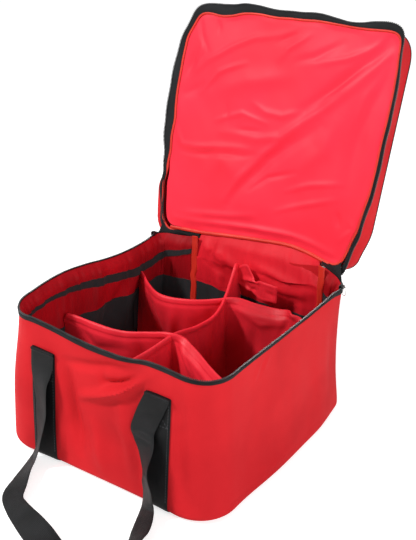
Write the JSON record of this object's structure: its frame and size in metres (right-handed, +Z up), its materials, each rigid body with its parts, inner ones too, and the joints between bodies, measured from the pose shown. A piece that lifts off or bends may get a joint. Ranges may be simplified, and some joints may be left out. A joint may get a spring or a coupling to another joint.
{
  "type": "insulated delivery bag",
  "caption": "Square insulated carry bag with a zipped lid hinged at the back, webbing carry loops front and rear, and a lift-out padded divider set.",
  "frame": {"origin": "on the floor under the middle of the bag's plan, which is also the bottom centre of the bounding box", "axes": "x runs along the front from left to right, y runs from the front to the hinge, z is up"},
  "size_m": [0.4174, 0.82, 0.6467],
  "materials": {
    "outer_cloth": "coated polyester with a fine weave, satin",
    "wall_lining_cloth": "smooth nylon, slightly shiny",
    "lid_lining_cloth": "smooth nylon, satin",
    "divider_cloth": "smooth nylon over thin foam, satin",
    "binding_tape": "woven binding tape, dull",
    "black_webbing": "woven webbing, dull",
    "zip_tape_cloth": "woven zip tape, dull",
    "piping_cord": "woven piping, dull",
    "loop_and_hook": "napped loop and hook tape, dull",
    "zip_coil": "moulded nylon coil, satin",
    "closed_cell_foam": "closed-cell foam sheet, matt",
    "loose_wadding": "soft fibre wadding, matt",
    "stiffener_board": "plain plastic board, matt",
    "slider_metal": "dark painted zinc, satin",
    "pull_wire": "bright nickel wire"
  },
  "bodies": {
    "bag": {"wall_band": "outer_cloth", "back_panel": "outer_cloth", "base_panel": "outer_cloth", "base_board": "stiffener_board", "wall_foam": "closed_cell_foam", "back_foam": "closed_cell_foam", "base_foam": "closed_cell_foam", "wall_lining": "wall_lining_cloth", "back_lining": "wall_lining_cloth", "floor_lining": "wall_lining_cloth", "seam_binding_left": "binding_tape", "seam_binding_right": "binding_tape", "upper_loop_band": "loop_and_hook", "lower_loop_band": "loop_and_hook", "back_loop_band": "loop_and_hook", "zip_tape_lower": "zip_tape_cloth", "zip_coil_lower": "zip_coil", "webbing_left": "black_webbing", "webbing_right": "black_webbing", "hinge_fold": "binding_tape"},
    "lid": {"lid_skirt": "outer_cloth", "lid_rear_panel": "outer_cloth", "lid_panel": "outer_cloth", "lid_piping": "piping_cord", "lid_foam": "closed_cell_foam", "lid_wadding": "loose_wadding", "lid_lining": "lid_lining_cloth", "lid_binding": "binding_tape", "zip_tape_upper": "zip_tape_cloth", "zip_coil_upper": "zip_coil"},
    "slider_left": {"slider_left": "slider_metal"},
    "slider_right": {"slider_right": "slider_metal"},
    "pull_left": {"pull_left": "pull_wire"},
    "pull_right": {"pull_right": "pull_wire"},
    "handle_front": {"handle_front": "black_webbing"},
    "handle_rear": {"handle_rear": "black_webbing"},
    "divider_set": {"divider_long": "divider_cloth", "divider_cross_front": "divider_cloth", "divider_cross_rear": "divider_cloth", "hook_tab_front_left": "loop_and_hook", "hook_tab_front_right": "loop_and_hook", "hook_tab_rear_left": "loop_and_hook", "hook_tab_rear_right": "loop_and_hook", "hook_tab_long_front": "loop_and_hook", "hook_tab_long_rear": "loop_and_hook"}
  },
  "joints": [
    {"name": "lid_hinge", "type": "hinge", "parent": "bag", "child": "lid", "pos_m": [0, 0.21, 0.245], "axis": [1, 0, 0], "range_deg": [-58, 107]},
    {"name": "slider_left_slide", "type": "slide", "parent": "bag", "child": "slider_left", "axis": [0, -1, 0], "range_m": [0, 0.33]},
    {"name": "slider_right_slide", "type": "slide", "parent": "bag", "child": "slider_right", "axis": [0, -1, 0], "range_m": [0, 0.33]},
    {"name": "pull_left_swing", "type": "hinge", "parent": "slider_left", "child": "pull_left", "pos_m": [-0.2047, 0.1842, 0.245], "axis": [0, 1, 0], "range_deg": [0, 150]},
    {"name": "pull_right_swing", "type": "hinge", "parent": "slider_right", "child": "pull_right", "pos_m": [0.2047, 0.1842, 0.245], "axis": [0, -1, 0], "range_deg": [0, 150]},
    {"name": "handle_front_swing", "type": "hinge", "parent": "bag", "child": "handle_front", "pos_m": [0, -0.2144, 0.2], "axis": [-1, 0, 0], "range_deg": [0, 150]},
    {"name": "handle_rear_swing", "type": "hinge", "parent": "bag", "child": "handle_rear", "pos_m": [0, 0.2144, 0.2], "axis": [1, 0, 0], "range_deg": [0, 95]},
    {"name": "divider_lift", "type": "slide", "parent": "bag", "child": "divider_set", "axis": [0, 0, -1], "range_m": [-0.26, 0]}
  ]
}
